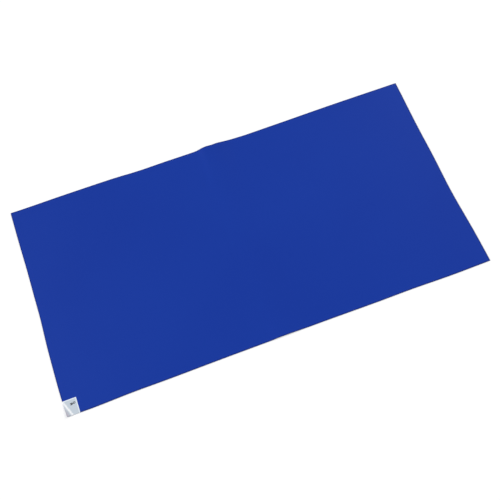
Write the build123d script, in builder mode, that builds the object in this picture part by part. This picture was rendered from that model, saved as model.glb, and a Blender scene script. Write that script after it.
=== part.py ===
"""Cleanroom sticky mat: thirty peelable sheets of adhesive film on a release film.

The sheets are stacked flush. Each has a small numbered tab at the same corner, to start the peel,
and the corner of the top sheet has begun to turn up.
The mat lies on the floor with its long side along X, +Z up, and its origin under its middle.
The corner with the tabs is at the low end of X and of Y.
"""

import math
import os

from build123d import *

# The stack, in millimetres
mat_length = 900.0
mat_width = 450.0
sheet_count = 30
sheet_thickness = 0.045
floor_film_thickness = 0.05

# A numbered tab, let into the top face of its sheet so that the stack stays flat
tab_length = 28.0
tab_width = 31.5
tab_thickness = 0.02

# The turned-up corner of the top sheet: the bend line runs from the end of the tab
# on the short edge to a point on the long edge
bend_along_length = 13.5
bend_along_width = tab_width
bend_radius = 10.0
bend_angle = 20.0

# Spare length past the corner's outline, trimmed off
trim_allowance = 2.0

corner = Vector(-mat_length / 2, -mat_width / 2)
film_under_tab = sheet_thickness - tab_thickness

bend_start = corner + Vector(bend_along_length, 0)
bend_end = corner + Vector(0, bend_along_width)
bend_line = bend_end - bend_start
bend_direction = bend_line.normalized()
toward_corner = Vector(0, 0, 1).cross(bend_direction)
corner_depth = (corner - bend_start).dot(toward_corner)
corner_station = (corner - bend_start).dot(bend_direction)


def sheet_bottom(number):
    """Height of a sheet's underside. Sheet 1 lies on the floor film."""
    return floor_film_thickness + (number - 1) * sheet_thickness


def tab_bottom(number):
    """Height of a tab's underside, in the pocket of the sheet with the same number."""
    return sheet_bottom(number) + film_under_tab


def mat_outline(height):
    """The cut edge that the film and all sheets share."""
    with BuildSketch(Plane.XY.offset(height)) as outline:
        Rectangle(mat_length, mat_width)
    return outline.sketch


def tab_outline(height):
    """A tab's outline, flush with both edges of the mat at its corner."""
    with BuildSketch(Plane.XY.offset(height)) as outline:
        with Locations(corner):
            Rectangle(tab_length, tab_width, align=(Align.MIN, Align.MIN))
    return outline.sketch


def bend_triangle(height):
    """The corner past the bend line, before it turns up."""
    with BuildSketch(Plane.XY.offset(height)) as outline:
        Polygon(bend_start, bend_end, corner, align=None)
    return outline.sketch


def drawn_in_corner():
    """Where the corner lies, seen from above, once it has turned up."""
    turn = math.radians(bend_angle)
    tail = corner_depth - bend_radius * turn
    depth = bend_radius * math.sin(turn) + tail * math.cos(turn)
    return bend_start + toward_corner * depth + bend_direction * corner_station


def turned_up_corner(outer_face, thickness):
    """The corner past the bend line as one bent layer.

    Its section, seen along the bend line, is an arc and a straight tail. All layers bend about
    one axis above the top sheet, and outer_face is the height of this layer's outer face.
    """
    axis_height = sheet_bottom(sheet_count) + bend_radius
    outer_radius = axis_height - outer_face
    inner_radius = outer_radius - thickness
    tail = corner_depth + trim_allowance - bend_radius * math.radians(bend_angle)
    section = Plane(origin=bend_start, x_dir=toward_corner, z_dir=bend_direction)
    with BuildPart() as layer:
        with BuildSketch(section):
            with BuildLine():
                outer = CenterArc((0, axis_height), outer_radius, -90, bend_angle)
                inner = CenterArc((0, axis_height), inner_radius, -90, bend_angle)
                outer_tail = PolarLine(outer @ 1, tail, bend_angle)
                inner_tail = PolarLine(inner @ 1, tail, bend_angle)
                Line(outer @ 0, inner @ 0)
                Line(outer_tail @ 1, inner_tail @ 1)
            make_face()
        extrude(amount=bend_line.length)
        with BuildSketch():
            Polygon(bend_start, bend_end, drawn_in_corner(), align=None)
        extrude(amount=axis_height, mode=Mode.INTERSECT)
    return layer.part


def make_floor_film():
    """Release film that covers the adhesive under the stack until the mat is laid."""
    with BuildPart() as floor_film:
        add(mat_outline(0))
        extrude(amount=floor_film_thickness)
    return floor_film


def make_sheet(number):
    """A sheet of film, with the pocket for its tab in its top face."""
    with BuildPart() as sheet:
        add(mat_outline(sheet_bottom(number)))
        extrude(amount=sheet_thickness)
        add(tab_outline(tab_bottom(number)))
        extrude(amount=tab_thickness, mode=Mode.SUBTRACT)
    return sheet


def make_top_sheet():
    """The top sheet: cut back to the bend line, and carried on by its turned-up corner."""
    bottom = sheet_bottom(sheet_count)
    with BuildPart() as top_sheet:
        add(make_sheet(sheet_count).part)
        add(bend_triangle(bottom))
        extrude(amount=sheet_thickness, mode=Mode.SUBTRACT)
        add(turned_up_corner(bottom, film_under_tab))
    return top_sheet


def make_top_tab():
    """The top sheet's tab, bent with the corner that it is stuck to."""
    bottom = tab_bottom(sheet_count)
    with BuildPart() as top_tab:
        add(tab_outline(bottom))
        extrude(amount=tab_thickness)
        add(bend_triangle(bottom))
        extrude(amount=tab_thickness, mode=Mode.SUBTRACT)
        add(turned_up_corner(bottom, tab_thickness))
    return top_tab


def make_lower_tabs():
    """The tabs of all sheets but the top one, each flat in its pocket and apart from the next."""
    with BuildPart() as lower_tabs:
        for number in range(1, sheet_count):
            add(tab_outline(tab_bottom(number)))
            extrude(amount=tab_thickness)
    return lower_tabs


def write_piece(piece, name):
    """Label a finished piece and write it to its own file."""
    piece.part.label = name
    export_step(piece.part, f"parts/{name}.step")


os.makedirs("parts", exist_ok=True)
write_piece(make_floor_film(), "floor_film")
for sheet_number in range(1, sheet_count):
    write_piece(make_sheet(sheet_number), f"sheet_{sheet_number:02d}")
write_piece(make_top_sheet(), f"sheet_{sheet_count:02d}")
write_piece(make_top_tab(), f"number_tab_{sheet_count:02d}")
write_piece(make_lower_tabs(), "lower_tabs")
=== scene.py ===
import math
import random

import bmesh
import bpy
from mathutils import Matrix, Quaternion, Vector


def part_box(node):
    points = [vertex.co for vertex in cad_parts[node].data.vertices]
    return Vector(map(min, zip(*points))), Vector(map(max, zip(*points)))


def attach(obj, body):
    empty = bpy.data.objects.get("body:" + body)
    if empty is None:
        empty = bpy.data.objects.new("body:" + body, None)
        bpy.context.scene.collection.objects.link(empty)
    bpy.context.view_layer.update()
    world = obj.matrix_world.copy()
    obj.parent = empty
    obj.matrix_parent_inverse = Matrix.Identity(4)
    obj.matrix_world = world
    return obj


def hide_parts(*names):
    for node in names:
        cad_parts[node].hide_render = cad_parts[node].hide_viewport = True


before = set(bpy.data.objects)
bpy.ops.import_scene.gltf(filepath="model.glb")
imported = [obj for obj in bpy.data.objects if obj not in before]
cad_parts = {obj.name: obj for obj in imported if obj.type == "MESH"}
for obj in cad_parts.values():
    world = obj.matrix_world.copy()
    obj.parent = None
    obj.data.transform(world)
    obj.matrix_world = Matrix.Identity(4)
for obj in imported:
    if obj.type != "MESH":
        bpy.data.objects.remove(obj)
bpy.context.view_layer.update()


# Release film. A sheet of matt white polyethylene under the whole stack, which keeps the lowest
# adhesive clean. It is cut and folded with the stack, so it shares its edge, slack and fold.

mat_low, mat_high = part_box("floor_film")
half_length = mat_high.x
half_width = mat_high.y
film_thickness = mat_high.z - mat_low.z
tab_low, tab_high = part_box("lower_tabs")

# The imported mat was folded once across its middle, and the fold still shows: a low, broad
# ridge that stands up most at the back edge and falls away faster on its left side. The higher
# its crest number, the flatter its top. It pushes the back edge out a little, and the front in
fold_place = -0.006
fold_left_reach = 0.0175
fold_right_reach = 0.0405
fold_crest = 3
fold_lift = {"back": 0.0038, "front": 0.0008}
fold_push = {"back": 0.0015, "front": -0.0006}
fold_lift_middle = 0.0003
fold_fade = 0.055

# Slack in the cut edges of the soft film. Each wave has its place along the edge, its reach,
# and how far it draws the edge in, or out where it is negative. It fades away from the edge
slack_fade = 0.020
edge_slack = {
    "back": [(-0.420, 0.050, 0.0008), (-0.160, 0.044, 0.0021), (-0.060, 0.080, 0.0020),
             (0.006, 0.007, 0.0009), (0.085, 0.030, 0.0008), (0.130, 0.110, 0.0020)],
    "front": [(-0.440, 0.022, 0.0010), (-0.315, 0.055, 0.0012), (-0.110, 0.200, 0.0021),
              (0.105, 0.110, 0.0009), (0.270, 0.050, 0.0008), (0.375, 0.055, -0.0007)],
    "left": [(-0.225, 0.034, 0.0019), (-0.020, 0.045, 0.0015), (0.070, 0.075, 0.0017)],
    "right": [(0.100, 0.085, 0.0024), (-0.055, 0.080, 0.0038)],
}

# The largest step between the cut edges of two sheets, where the knife pushed the soft film
edge_step = 0.00012
knife_seed = 31

# Cuts that let a layer bend: close together at the fold, and wide apart elsewhere
wide_spacing = 0.025
fold_spacing = 0.004
fold_cuts_reach = 0.072
row_spacing = 0.0125
weld_distance = 1e-6
on_the_plane = 1e-8
flat_angle = math.radians(1)
sharp_angle = math.radians(35)


def fold_share(x):
    """How much of the fold's height is left at x, from 1 on its crest to 0 on the flat mat."""
    away = x - fold_place
    reach = fold_left_reach if away < 0 else fold_right_reach
    return math.exp(-((abs(away) / reach) ** fold_crest))


def fold_height(x, y):
    """Height of the fold above the floor at a place on the mat."""
    back = fold_lift["back"] * math.exp(-(half_width - y) / fold_fade)
    front = fold_lift["front"] * math.exp(-(half_width + y) / fold_fade)
    return fold_share(x) * (back + front + fold_lift_middle)


def drawn_in(side, along):
    """How far one cut edge is drawn in, at a place along it."""
    waves = edge_slack[side]
    return sum(depth * math.exp(-(((along - place) / reach) ** 2)) for place, reach, depth in waves)


def settle(bm):
    """Moves the points of a flat layer to where the folded, slack film leaves them."""
    for vertex in bm.verts:
        point = vertex.co
        end = "right" if point.x > 0 else "left"
        side = "back" if point.y > 0 else "front"
        inward_x = drawn_in(end, point.y)
        inward_y = drawn_in(side, point.x) - fold_push[side] * fold_share(point.x)
        inward_x *= math.exp(-(half_length - abs(point.x)) / slack_fade)
        inward_y *= math.exp(-(half_width - abs(point.y)) / slack_fade)
        lift = fold_height(point.x, point.y)
        point.x -= inward_x * math.copysign(1, point.x)
        point.y -= inward_y * math.copysign(1, point.y)
        point.z += lift


def spaced(low, high, step):
    """Evenly spaced places between low and high, no further apart than step."""
    count = math.ceil((high - low) / step)
    return [low + (high - low) * i / count for i in range(1, count)]


def all_of(bm):
    """All points, edges and faces of a bmesh."""
    return bm.verts[:] + bm.edges[:] + bm.faces[:]


def cut(bm, place, normal):
    """Cuts all faces along one plane and keeps both sides."""
    bmesh.ops.bisect_plane(bm, geom=all_of(bm), dist=on_the_plane, plane_co=place, plane_no=normal)


def grid_cuts(bm):
    """Cuts a flat layer into a grid that can follow the fold."""
    fold_low = fold_place - fold_cuts_reach
    fold_high = fold_place + fold_cuts_reach
    columns = spaced(-half_length, fold_low, wide_spacing)
    columns += spaced(fold_low - fold_spacing, fold_high, fold_spacing)
    columns += spaced(fold_high - fold_spacing, half_length, wide_spacing)
    for x in [tab_high.x] + columns:
        cut(bm, Vector((x, 0, 0)), Vector((1, 0, 0)))
    for y in [tab_high.y] + spaced(-half_width, half_width, row_spacing):
        cut(bm, Vector((0, y, 0)), Vector((0, 1, 0)))


def welded(node):
    """A node's own mesh, with its loose triangles joined into whole flat faces."""
    bm = bmesh.new()
    bm.from_mesh(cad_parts[node].data)
    bmesh.ops.remove_doubles(bm, verts=bm.verts, dist=weld_distance)
    bmesh.ops.dissolve_limit(bm, angle_limit=flat_angle, verts=bm.verts, edges=bm.edges)
    return bm


def step_edges(bm, slips):
    """Moves a layer's four cut edges out or in by their own small slips."""
    for vertex in bm.verts:
        if abs(vertex.co.x) > half_length - edge_step:
            vertex.co.x += slips["right" if vertex.co.x > 0 else "left"]
        if abs(vertex.co.y) > half_width - edge_step:
            vertex.co.y += slips["back" if vertex.co.y > 0 else "front"]


def random_slips(chance):
    """A slip for each of the four cut edges, none longer than half a step."""
    return {side: chance.uniform(-0.5, 0.5) * edge_step for side in edge_slack}


def finished(bm, name, material):
    """Turns a bmesh into a piece that lies where it was built, smooth but for its sharp edges."""
    for face in bm.faces:
        face.smooth = True
    for edge in bm.edges:
        if len(edge.link_faces) == 2:
            edge.smooth = edge.calc_face_angle() < sharp_angle
    mesh = bpy.data.meshes.new(name)
    bm.to_mesh(mesh)
    bm.free()
    mesh.materials.append(material)
    piece = bpy.data.objects.new(name, mesh)
    bpy.context.scene.collection.objects.link(piece)
    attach(piece, "root")
    return piece


def feed(tree, value, socket):
    """Links another node's socket to an input, or sets the input to a plain value."""
    if isinstance(value, bpy.types.NodeSocket):
        tree.links.new(value, socket)
    else:
        socket.default_value = value


def combined(tree, operation, first, second=0):
    """Two values combined by a Math node."""
    node = tree.nodes.new("ShaderNodeMath")
    node.operation = operation
    feed(tree, first, node.inputs[0])
    feed(tree, second, node.inputs[1])
    return node.outputs["Value"]


def ranged(tree, value, given_range, wanted_range=(0, 1), interpolation="LINEAR"):
    """A value taken from one range to another, and held there."""
    node = tree.nodes.new("ShaderNodeMapRange")
    node.interpolation_type = interpolation
    feed(tree, value, node.inputs["Value"])
    for end, number in zip(("From Min", "From Max"), given_range):
        node.inputs[end].default_value = number
    for end, number in zip(("To Min", "To Max"), wanted_range):
        node.inputs[end].default_value = number
    return node.outputs["Result"]


def noise(tree, place, scale, detail=2):
    """A noise mask over a place."""
    node = tree.nodes.new("ShaderNodeTexNoise")
    feed(tree, place, node.inputs["Vector"])
    feed(tree, scale, node.inputs["Scale"])
    feed(tree, detail, node.inputs["Detail"])
    return node.outputs["Fac"]


def mixed(tree, mask, under, over):
    """One colour laid over another where the mask is 1."""
    node = tree.nodes.new("ShaderNodeMix")
    node.data_type = "RGBA"
    feed(tree, mask, node.inputs["Factor"])
    feed(tree, under, node.inputs["A"])
    feed(tree, over, node.inputs["B"])
    return node.outputs["Result"]


# Where the tone of the film drifts, how its flow lines stretch along it, and how much they
# change its roughness
drift_scale = 3.2
drift_starts = 0.35
drift_is_full = 0.7
flow_scale = 14
flow_stretch = (1, 9, 1)
flow_roughness = 0.07


def film_surface_group():
    """Blown film: slow drift of tone, flow lines, and the fine orange peel of its coat."""
    group = bpy.data.node_groups.new("film surface", "ShaderNodeTree")
    sockets = group.interface
    for name in ("Colour", "Drift Colour"):
        sockets.new_socket(name, in_out="INPUT", socket_type="NodeSocketColor")
    for name in ("Drift", "Roughness", "Peel Size", "Peel Height", "Wave Height"):
        sockets.new_socket(name, in_out="INPUT", socket_type="NodeSocketFloat")
    sockets.new_socket("Colour", in_out="OUTPUT", socket_type="NodeSocketColor")
    for name in ("Roughness", "Height"):
        sockets.new_socket(name, in_out="OUTPUT", socket_type="NodeSocketFloat")
    given = group.nodes.new("NodeGroupInput")
    result = group.nodes.new("NodeGroupOutput")
    place = group.nodes.new("ShaderNodeTexCoord").outputs["Object"]

    drift = ranged(group, noise(group, place, drift_scale), (drift_starts, drift_is_full))
    drift_share = combined(group, "MULTIPLY", drift, given.outputs["Drift"])
    tone = mixed(group, drift_share, given.outputs["Colour"], given.outputs["Drift Colour"])
    group.links.new(tone, result.inputs["Colour"])

    stretched = group.nodes.new("ShaderNodeMapping")
    stretched.inputs["Scale"].default_value = flow_stretch
    group.links.new(place, stretched.inputs["Vector"])
    flow = noise(group, stretched.outputs["Vector"], flow_scale, detail=5)
    flow_change = ranged(group, flow, (0, 1), (-flow_roughness, flow_roughness))
    roughness = combined(group, "ADD", given.outputs["Roughness"], flow_change)
    roughness.node.use_clamp = True
    group.links.new(roughness, result.inputs["Roughness"])

    peel_scale = combined(group, "DIVIDE", 1, given.outputs["Peel Size"])
    peel = noise(group, place, peel_scale, detail=3)
    peel_height = combined(group, "MULTIPLY", peel, given.outputs["Peel Height"])
    wave_height = combined(group, "MULTIPLY", flow, given.outputs["Wave Height"])
    height = combined(group, "ADD", peel_height, wave_height)
    group.links.new(height, result.inputs["Height"])
    return group


film_surface = film_surface_group()


def film_material(name, colour, deep_colour, drift, roughness, gloss,
                  peel_size, peel_height, wave_height):
    """A film finish: the film surface group on a Principled shader, with its sizes in metres."""
    material = bpy.data.materials.new(name)
    material.use_nodes = True
    tree = material.node_tree
    shader = tree.nodes["Principled BSDF"]
    shader.inputs["Specular IOR Level"].default_value = gloss
    surface = tree.nodes.new("ShaderNodeGroup")
    surface.node_tree = film_surface
    surface.inputs["Colour"].default_value = colour
    surface.inputs["Drift Colour"].default_value = deep_colour
    surface.inputs["Drift"].default_value = drift
    surface.inputs["Roughness"].default_value = roughness
    surface.inputs["Peel Size"].default_value = peel_size
    surface.inputs["Peel Height"].default_value = peel_height
    surface.inputs["Wave Height"].default_value = wave_height
    bump = tree.nodes.new("ShaderNodeBump")
    bump.inputs["Distance"].default_value = 1
    tree.links.new(surface.outputs["Height"], bump.inputs["Height"])
    tree.links.new(surface.outputs["Colour"], shader.inputs["Base Color"])
    tree.links.new(surface.outputs["Roughness"], shader.inputs["Roughness"])
    tree.links.new(bump.outputs["Normal"], shader.inputs["Normal"])
    return material


release_white = (0.74, 0.77, 0.80, 1)
release_white_deep = (0.68, 0.72, 0.77, 1)
release_finish = film_material(
    "release film, matt white", release_white, release_white_deep,
    drift=0.6, roughness=0.5, gloss=0.4,
    peel_size=0.0009, peel_height=0.000012, wave_height=0.00005,
)

knife = random.Random(knife_seed)
release = welded("floor_film")
grid_cuts(release)
step_edges(release, random_slips(knife))
settle(release)
release_film = finished(release, "release_film", release_finish)
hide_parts("floor_film")


# Lower sheets. Twenty-nine of the thirty blue polyethylene films, each with a coat of adhesive on
# its top face and a shallow place where its tab presses in. Only their cut edges show.

sheet_count = 30
sheet_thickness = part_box("sheet_02")[0].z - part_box("sheet_01")[0].z
sheet_blue = (0.0035, 0.0366, 0.336, 1)
sheet_blue_deep = (0.0029, 0.0336, 0.323, 1)


def sheet_name(number):
    """A sheet's node. Sheet 1 lies on the release film."""
    return f"sheet_{number:02d}"


sheet_finish = film_material(
    "blue film with adhesive", sheet_blue, sheet_blue_deep,
    drift=1.0, roughness=0.42, gloss=0.15,
    peel_size=0.0021, peel_height=0.000022, wave_height=0.00009,
)

# The coat of adhesive thins out toward the cut edges, and the bare film there looks darker
bare_margin = 0.0026
wholly_bare = bare_margin / 3
bare_tone = 0.62

# The UV map that keeps each point's place on the flat mat, as a share of its length and width
flat_map = "flat"


def keep_flat_places(bm):
    """Keeps every point's place on the flat mat, before the film settles."""
    flat = bm.loops.layers.uv.new(flat_map)
    for face in bm.faces:
        for loop in face.loops:
            place = loop.vert.co
            loop[flat].uv = (0.5 + place.x / (2 * half_length), 0.5 + place.y / (2 * half_width))


def colour_group(name):
    """A new node group that takes a colour and gives one back."""
    group = bpy.data.node_groups.new(name, "ShaderNodeTree")
    group.interface.new_socket("Colour", in_out="INPUT", socket_type="NodeSocketColor")
    group.interface.new_socket("Colour", in_out="OUTPUT", socket_type="NodeSocketColor")
    return group


def bare_margin_group():
    """Darkens a sheet's colour near its cut edges, by its flat places."""
    group = colour_group("bare margin")
    given = group.nodes.new("NodeGroupInput")
    result = group.nodes.new("NodeGroupOutput")
    place = group.nodes.new("ShaderNodeUVMap")
    place.uv_map = flat_map
    parts = group.nodes.new("ShaderNodeSeparateXYZ")
    group.links.new(place.outputs["UV"], parts.inputs["Vector"])

    def from_edge(share, length):
        """Distance to the nearer of two facing edges, from the share of the way between them."""
        return combined(group, "MULTIPLY", combined(group, "PINGPONG", share, 0.5), length)

    from_end = from_edge(parts.outputs["X"], 2 * half_length)
    from_side = from_edge(parts.outputs["Y"], 2 * half_width)
    nearest = combined(group, "MINIMUM", from_end, from_side)
    tone = ranged(group, nearest, (wholly_bare, bare_margin), (bare_tone, 1), "SMOOTHSTEP")
    toned = group.nodes.new("ShaderNodeVectorMath")
    toned.operation = "SCALE"
    group.links.new(given.outputs["Colour"], toned.inputs["Vector"])
    group.links.new(tone, toned.inputs["Scale"])
    group.links.new(toned.outputs["Vector"], result.inputs["Colour"])
    return group


def recolour(material, group):
    """Puts a colour group between a film's surface group and its shader."""
    tree = material.node_tree
    change = tree.nodes.new("ShaderNodeGroup")
    change.node_tree = group
    tree.links.new(tree.nodes["Group"].outputs["Colour"], change.inputs["Colour"])
    tree.links.new(change.outputs["Colour"], tree.nodes["Principled BSDF"].inputs["Base Color"])


recolour(sheet_finish, bare_margin_group())

flat_sheet = welded("sheet_01")
grid_cuts(flat_sheet)
keep_flat_places(flat_sheet)
sheet_slips = {}
for number in range(1, sheet_count):
    sheet_slips[number] = random_slips(knife)
    layer = flat_sheet.copy()
    bmesh.ops.translate(layer, verts=layer.verts, vec=(0, 0, (number - 1) * sheet_thickness))
    step_edges(layer, sheet_slips[number])
    settle(layer)
    film = finished(layer, f"film_{number:02d}", sheet_finish)
    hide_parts(sheet_name(number))


# Lower tabs. A slip of thin white film pressed into the corner of each lower sheet, so that the
# sheet above lets go there. They are stacked under the top tab, and only their edges show.

tab_thickness = 0.00002
tab_white = (0.560, 0.635, 0.710, 1)
tab_white_deep = (0.515, 0.580, 0.655, 1)


def flat_tab(number):
    """The flat tab of one sheet: a thin plate whose top is level with the sheet's."""
    top = film_thickness + number * sheet_thickness
    size = Vector((tab_high.x - tab_low.x, tab_high.y - tab_low.y, tab_thickness))
    middle_x = (tab_low.x + tab_high.x) / 2
    middle_y = (tab_low.y + tab_high.y) / 2
    middle = Vector((middle_x, middle_y, top - tab_thickness / 2))
    tab = bmesh.new()
    bmesh.ops.create_cube(tab, size=1)
    bmesh.ops.scale(tab, verts=tab.verts, vec=size)
    bmesh.ops.translate(tab, verts=tab.verts, vec=middle)
    grid_cuts(tab)
    return tab


def join(whole, part):
    """Adds a bmesh to a larger one, and frees it."""
    mesh = bpy.data.meshes.new("part")
    part.to_mesh(mesh)
    part.free()
    whole.from_mesh(mesh)
    bpy.data.meshes.remove(mesh)


tab_finish = film_material(
    "white tab film", tab_white, tab_white_deep,
    drift=0.8, roughness=0.34, gloss=0.5,
    peel_size=0.0012, peel_height=0.000006, wave_height=0.00002,
)

tab_stack = bmesh.new()
for number in range(1, sheet_count):
    tab = flat_tab(number)
    step_edges(tab, sheet_slips[number])
    settle(tab)
    join(tab_stack, tab)
stacked_tabs = finished(tab_stack, "stacked_tabs", tab_finish)
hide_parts("lower_tabs")


# Top sheet. The sheet in use: the same film, with its corner beginning to turn up under its tab.
# The bend runs from the end of the tab on the short edge to a point on the long edge.

bend_along_length = 0.0135
bend_radius = 0.010
bend_angle = math.radians(20)
bend_cuts = 14
corner = Vector((-half_length, -half_width))
bend_start = corner + Vector((bend_along_length, 0))
bend_end = Vector((-half_length, tab_high.y))
bend_direction = (bend_end - bend_start).normalized()
toward_corner = Vector((-bend_direction.y, bend_direction.x))
corner_depth = (corner - bend_start).dot(toward_corner)
top_sheet_base = film_thickness + (sheet_count - 1) * sheet_thickness


def under_tab(face):
    """Whether a face of a flat layer lies within the tab's outline."""
    return all(v.co.x < tab_high.x + weld_distance and v.co.y < tab_high.y + weld_distance
               for v in face.verts)


def cut_for_bend(bm):
    """Cuts the corner into strips along the bend line, from the line to the tip."""
    faces = [face for face in bm.faces if under_tab(face)]
    for i in range(bend_cuts):
        place = bend_start + toward_corner * corner_depth * i / bend_cuts
        faces = [face for face in faces if face.is_valid]
        edges = dict.fromkeys(edge for face in faces for edge in face.edges)
        verts = dict.fromkeys(vertex for face in faces for vertex in face.verts)
        made = bmesh.ops.bisect_plane(bm, geom=list(verts) + list(edges) + faces, dist=on_the_plane,
                                      plane_co=place.to_3d(), plane_no=toward_corner.to_3d())
        faces = [part for part in made["geom"] if isinstance(part, bmesh.types.BMFace)]


def turn_up(bm):
    """Bends the corner past the bend line up about an axis above it, and on along a flat tail."""
    for vertex in bm.verts:
        point = vertex.co
        depth = (point.xy - bend_start).dot(toward_corner)
        if depth <= 0:
            continue
        turn = min(depth / bend_radius, bend_angle)
        tail = depth - bend_radius * turn
        radius = bend_radius - (point.z - top_sheet_base)
        out = radius * math.sin(turn) + tail * math.cos(turn)
        up = bend_radius - radius * math.cos(turn) + tail * math.sin(turn)
        point.xy += toward_corner * (out - depth)
        point.z = top_sheet_base + up


top_slips = random_slips(knife)
layer = flat_sheet.copy()
flat_sheet.free()
bmesh.ops.translate(layer, verts=layer.verts, vec=(0, 0, (sheet_count - 1) * sheet_thickness))
cut_for_bend(layer)
step_edges(layer, top_slips)
settle(layer)
turn_up(layer)
top_film = finished(layer, "top_film", sheet_finish)
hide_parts(sheet_name(sheet_count))


# Top tab. The slip of white film that carries the count of sheets left. It is stuck to the top
# sheet's corner and bends with it, with a painted highlight along the bend and painted shade on the
# flap.

# The near-white band along the crease is a painted highlight of the bend
crease_highlight = (0.93, 0.95, 0.98, 1)
crease_middle = -0.0006
crease_reach = 0.0035
crease_wander = 0.0008
crease_wander_scale = 160
# The flap's grey, deepest toward its tip, is painted shade on the turned-up flap
flap_painted_shade = (0.50, 0.475, 0.55, 1)
flap_start = 0.0008
flap_end = 0.0078
margin_white = (0.80, 0.88, 0.95, 1)
margin_width = 0.0022
wholly_pale = margin_width / 3


def tab_colour_and_painted_light_group():
    """The top tab's tones: a pale margin, a painted highlight on the crease, and painted shade on
    the flap.
    """
    group = colour_group("tab colour, painted highlight and shade")
    given = group.nodes.new("NodeGroupInput")
    result = group.nodes.new("NodeGroupOutput")
    place = group.nodes.new("ShaderNodeTexCoord").outputs["Object"]
    parts = group.nodes.new("ShaderNodeSeparateXYZ")
    group.links.new(place, parts.inputs["Vector"])

    along = group.nodes.new("ShaderNodeVectorMath")
    along.operation = "DOT_PRODUCT"
    along.inputs[1].default_value = toward_corner.to_3d()
    group.links.new(place, along.inputs[0])
    depth = combined(group, "SUBTRACT", along.outputs["Value"], bend_start.dot(toward_corner))
    wander = noise(group, place, crease_wander_scale)
    wander_by = ranged(group, wander, (0, 1), (-crease_wander, crease_wander))
    uneven_depth = combined(group, "ADD", depth, wander_by)
    from_crease = combined(group, "SUBTRACT", uneven_depth, crease_middle)
    crease_distance = combined(group, "ABSOLUTE", from_crease)

    colour = given.outputs["Colour"]
    # Pale margins, then painted shade on the flap, then a painted highlight along the crease
    for source, starts, is_full, tone in (
        (parts.outputs["X"], tab_high.x - margin_width, tab_high.x - wholly_pale, margin_white),
        (parts.outputs["Y"], tab_high.y - margin_width, tab_high.y - wholly_pale, margin_white),
        (uneven_depth, flap_start, flap_end, flap_painted_shade),
        (crease_distance, crease_reach, 0, crease_highlight),
    ):
        mask = ranged(group, source, (starts, is_full), interpolation="SMOOTHSTEP")
        colour = mixed(group, mask, colour, tone)
    group.links.new(colour, result.inputs["Colour"])
    return group


# The top tab's finish, with its painted highlight on the crease and painted shade on the flap
tab_finish_with_painted_light = tab_finish.copy()
tab_finish_with_painted_light.name = "white tab film, painted highlight and shade"
recolour(tab_finish_with_painted_light, tab_colour_and_painted_light_group())

tab = flat_tab(sheet_count)
cut_for_bend(tab)
step_edges(tab, top_slips)
settle(tab)
turn_up(tab)
top_tab = finished(tab, "top_tab", tab_finish_with_painted_light)
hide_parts("number_tab_30")


# Printed count. The number of sheets left, stamped in black ink on the flat part of the top tab,
# in heavy plain numerals, to be read from the long edge, and a little askew.

numeral_height = 0.0041
numeral_stroke = 0.00118
numeral_gap = 0.00045
three_width = 0.0053
three_middle_start = 0.0009
zero_width = 0.0053
bowl_steps = 16
count_from_end = 0.0188
count_from_tab_edge = 0.0098
count_turn = math.radians(8)
ink_thickness = 0.000006
ink_black = (0.0015, 0.0015, 0.002, 1)
ink_black_worn = (0.009, 0.009, 0.011, 1)
ink_grain_scale = 2600
ink_roughness = 0.6
ink_gloss = 0.15


def numeral_side(start, turn_at, end, middle, radius):
    """The right side of a numeral: a bar, a half turn round its bowl, and a bar back."""
    side = bmesh.new()
    half = numeral_stroke / 2
    corners = ((-half, 0), (half, 0), (half, ink_thickness), (-half, ink_thickness))
    verts = [side.verts.new((start, middle + radius + y, z)) for y, z in corners]
    edges = [side.edges.new((verts[i - 1], verts[i])) for i in range(4)]
    straight = {"axis": (0, 0, 1), "angle": 0, "steps": 1}
    made = bmesh.ops.spin(side, geom=verts + edges, dvec=(turn_at - start, 0, 0), **straight)
    made = bmesh.ops.spin(side, geom=made["geom_last"], cent=(turn_at, middle, 0), axis=(0, 0, 1),
                          angle=-math.pi, steps=bowl_steps)
    bmesh.ops.spin(side, geom=made["geom_last"], dvec=(end - turn_at, 0, 0), **straight)
    return side


def mirrored(half, axis):
    """A whole numeral from its half: mirrored, welded where the halves meet, and closed."""
    bmesh.ops.mirror(half, geom=all_of(half), axis=axis, merge_dist=weld_distance)
    bmesh.ops.remove_doubles(half, verts=half.verts, dist=weld_distance)
    bmesh.ops.holes_fill(half, edges=half.edges)
    bmesh.ops.recalc_face_normals(half, faces=half.faces)
    return half


def numeral_three():
    """A heavy 3, upright, with its left side at the origin: two bowls that share a middle bar."""
    radius = (numeral_height - numeral_stroke) / 4
    turn_at = three_width - radius - numeral_stroke / 2
    bowl = numeral_side(0, turn_at, three_middle_start, radius, radius)
    bmesh.ops.bisect_plane(bowl, geom=all_of(bowl), dist=on_the_plane, plane_co=(0, 0, 0),
                           plane_no=(0, 1, 0), clear_inner=True)
    return mirrored(bowl, "Y")


def numeral_zero():
    """A heavy 0, upright, with its middle at the origin."""
    radius = (numeral_height - numeral_stroke) / 2
    turn_at = zero_width / 2 - radius - numeral_stroke / 2
    return mirrored(numeral_side(0, turn_at, 0, 0, radius), "X")


def ink_material():
    """Matt black stamping ink, with a fine grain of paler specks."""
    material = bpy.data.materials.new("black ink")
    material.use_nodes = True
    tree = material.node_tree
    shader = tree.nodes["Principled BSDF"]
    place = tree.nodes.new("ShaderNodeTexCoord").outputs["Object"]
    tone = mixed(tree, noise(tree, place, ink_grain_scale), ink_black, ink_black_worn)
    tree.links.new(tone, shader.inputs["Base Color"])
    shader.inputs["Roughness"].default_value = ink_roughness
    shader.inputs["Specular IOR Level"].default_value = ink_gloss
    return material


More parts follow.
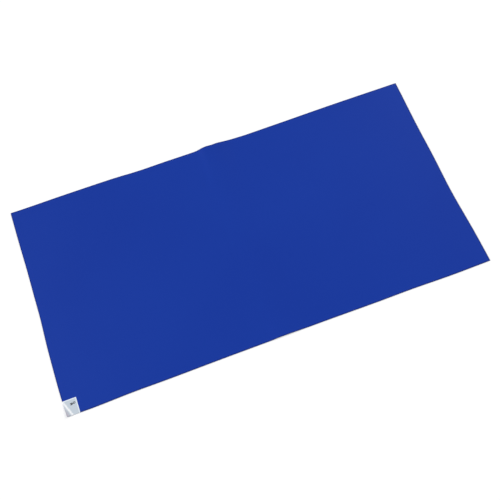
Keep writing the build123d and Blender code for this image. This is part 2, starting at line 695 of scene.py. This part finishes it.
count_width = three_width + numeral_gap + zero_width
three_place = -count_width / 2
zero_place = (count_width - zero_width) / 2
digits = bmesh.new()
for numeral, place in ((numeral_three(), three_place), (numeral_zero(), zero_place)):
    bmesh.ops.translate(numeral, verts=numeral.verts, vec=(place, 0, 0))
    join(digits, numeral)
bmesh.ops.rotate(digits, verts=digits.verts, matrix=Matrix.Rotation(count_turn, 3, "Z"))
tab_top = film_thickness + sheet_count * sheet_thickness
count_middle = Vector((tab_low.x + count_from_end, tab_high.y - count_from_tab_edge, tab_top))
bmesh.ops.translate(digits, verts=digits.verts, vec=count_middle)
settle(digits)
printed_count = finished(digits, "printed_count", ink_material())


# Floor. A plain white studio floor under the mat, lit to white, that keeps the mat's shadow.
# It lies a hair below the mat's underside, so that the two faces don't share a plane.

floor_half = 4.0
floor_drop = 0.00002
floor_colour = (0.93, 0.93, 0.93, 1)
floor_lift = 0.16

ground = bmesh.new()
bmesh.ops.create_grid(ground, x_segments=1, y_segments=1, size=floor_half)
bmesh.ops.translate(ground, verts=ground.verts, vec=(0, 0, -floor_drop))
ground_mesh = bpy.data.meshes.new("floor")
ground.to_mesh(ground_mesh)
ground.free()
floor = bpy.data.objects.new("floor", ground_mesh)
bpy.context.scene.collection.objects.link(floor)

floor_finish = bpy.data.materials.new("studio floor")
floor_finish.use_nodes = True
floor_tree = floor_finish.node_tree
floor_tree.nodes.remove(floor_tree.nodes["Principled BSDF"])
floor_seen = floor_tree.nodes.new("ShaderNodeLightPath")
floor_diffuse = floor_tree.nodes.new("ShaderNodeBsdfDiffuse")
floor_diffuse.inputs["Color"].default_value = floor_colour
floor_glow = floor_tree.nodes.new("ShaderNodeEmission")
glow_strength = combined(floor_tree, "MULTIPLY", floor_seen.outputs["Is Camera Ray"], floor_lift)
floor_tree.links.new(glow_strength, floor_glow.inputs["Strength"])
floor_sum = floor_tree.nodes.new("ShaderNodeAddShader")
floor_tree.links.new(floor_diffuse.outputs["BSDF"], floor_sum.inputs[0])
floor_tree.links.new(floor_glow.outputs["Emission"], floor_sum.inputs[1])
floor_output = floor_tree.nodes["Material Output"]
floor_tree.links.new(floor_sum.outputs["Shader"], floor_output.inputs["Surface"])
ground_mesh.materials.append(floor_finish)


# Light. A pale studio all round, a broad soft key from the back left and a weaker one from the
# back right, both outside what the flat film mirrors to the camera.

studio_level = 0.5
key_from = Vector((-0.80, 0.25, 0.62))
key_strength = 1.84
rim_from = Vector((0.90, 0.50, 0.54))
rim_strength = 0.8
lamp_softness = math.radians(26)

# What the camera, a mirror or glass sees of the studio is white, whatever its level
world = bpy.data.worlds.new("studio")
bpy.context.scene.world = world
world.use_nodes = True
background = world.node_tree.nodes["Background"]
background.inputs["Color"].default_value = (1, 1, 1, 1)
rays = world.node_tree.nodes.new("ShaderNodeLightPath").outputs
seen = combined(world.node_tree, "MAXIMUM", rays["Is Camera Ray"], rays["Is Glossy Ray"])
seen = combined(world.node_tree, "MAXIMUM", seen, rays["Is Transmission Ray"])
studio_strength = ranged(world.node_tree, seen, (0, 1), (studio_level, 1))
world.node_tree.links.new(studio_strength, background.inputs["Strength"])


def distant_lamp(name, comes_from, strength):
    """A broad lamp far away, which lights the whole mat evenly."""
    lamp = bpy.data.lights.new(name, "SUN")
    lamp.energy = strength
    lamp.angle = lamp_softness
    holder = bpy.data.objects.new(name, lamp)
    holder.rotation_euler = comes_from.to_track_quat("Z", "Y").to_euler()
    bpy.context.scene.collection.objects.link(holder)


distant_lamp("key", key_from, key_strength)
distant_lamp("rim", rim_from, rim_strength)


# Camera. It looks steeply down at the mat from over its front left quarter, from the photo's
# side and height, a little tilted.

eye = Vector((-0.1598, -0.3924, 1.1859))
aim = Vector((-0.0494, -0.0136, 0))
roll = math.radians(-4.070)
lens = 43.325
sideways_shift = 0.05

camera_data = bpy.data.cameras.new("camera")
camera_data.lens = lens
camera_data.shift_x = sideways_shift
camera = bpy.data.objects.new("camera", camera_data)
camera.location = eye
camera.rotation_mode = "QUATERNION"
camera.rotation_quaternion = (aim - eye).to_track_quat("-Z", "Y") @ Quaternion((0, 0, 1), roll)
bpy.context.scene.collection.objects.link(camera)
bpy.context.scene.camera = camera
bpy.context.scene.view_settings.view_transform = "Standard"
